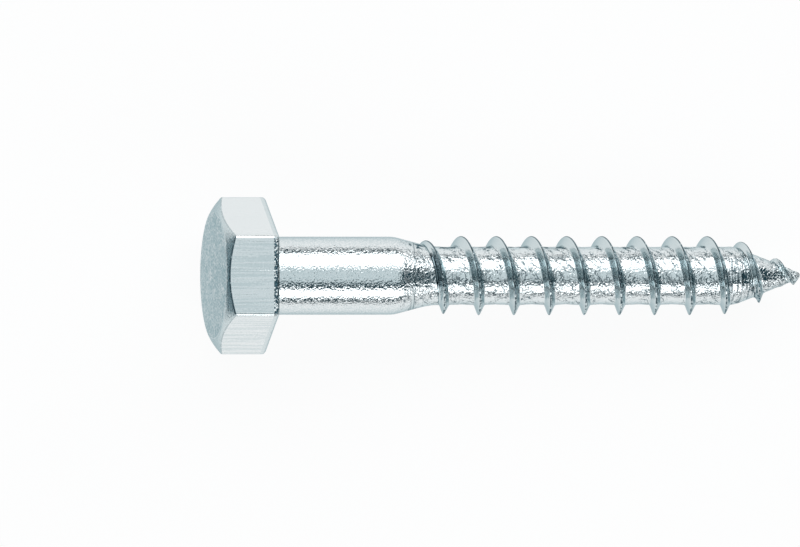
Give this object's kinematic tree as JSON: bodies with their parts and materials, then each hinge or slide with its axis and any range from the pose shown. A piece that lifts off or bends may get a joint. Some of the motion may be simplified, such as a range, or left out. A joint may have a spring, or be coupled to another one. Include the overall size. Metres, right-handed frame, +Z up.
{
  "type": "hex head wood screw",
  "caption": "Hexagon head wood screw with a plain shank, a coarse right-handed thread and a gimlet point, lying at rest.",
  "frame": {"origin": "centre of the bounding box, on the surface that the screw lies on", "axes": "+Z up, +X from the head towards the point along the screw as it lies, with one flat of the hexagon down"},
  "size_m": [0.0754, 0.0194, 0.0173],
  "materials": {
    "zinc_plate": "bright zinc plated steel, forged head, rolled thread"
  },
  "bodies": {
    "root": {"wood_screw": "zinc_plate"}
  },
  "joints": []
}
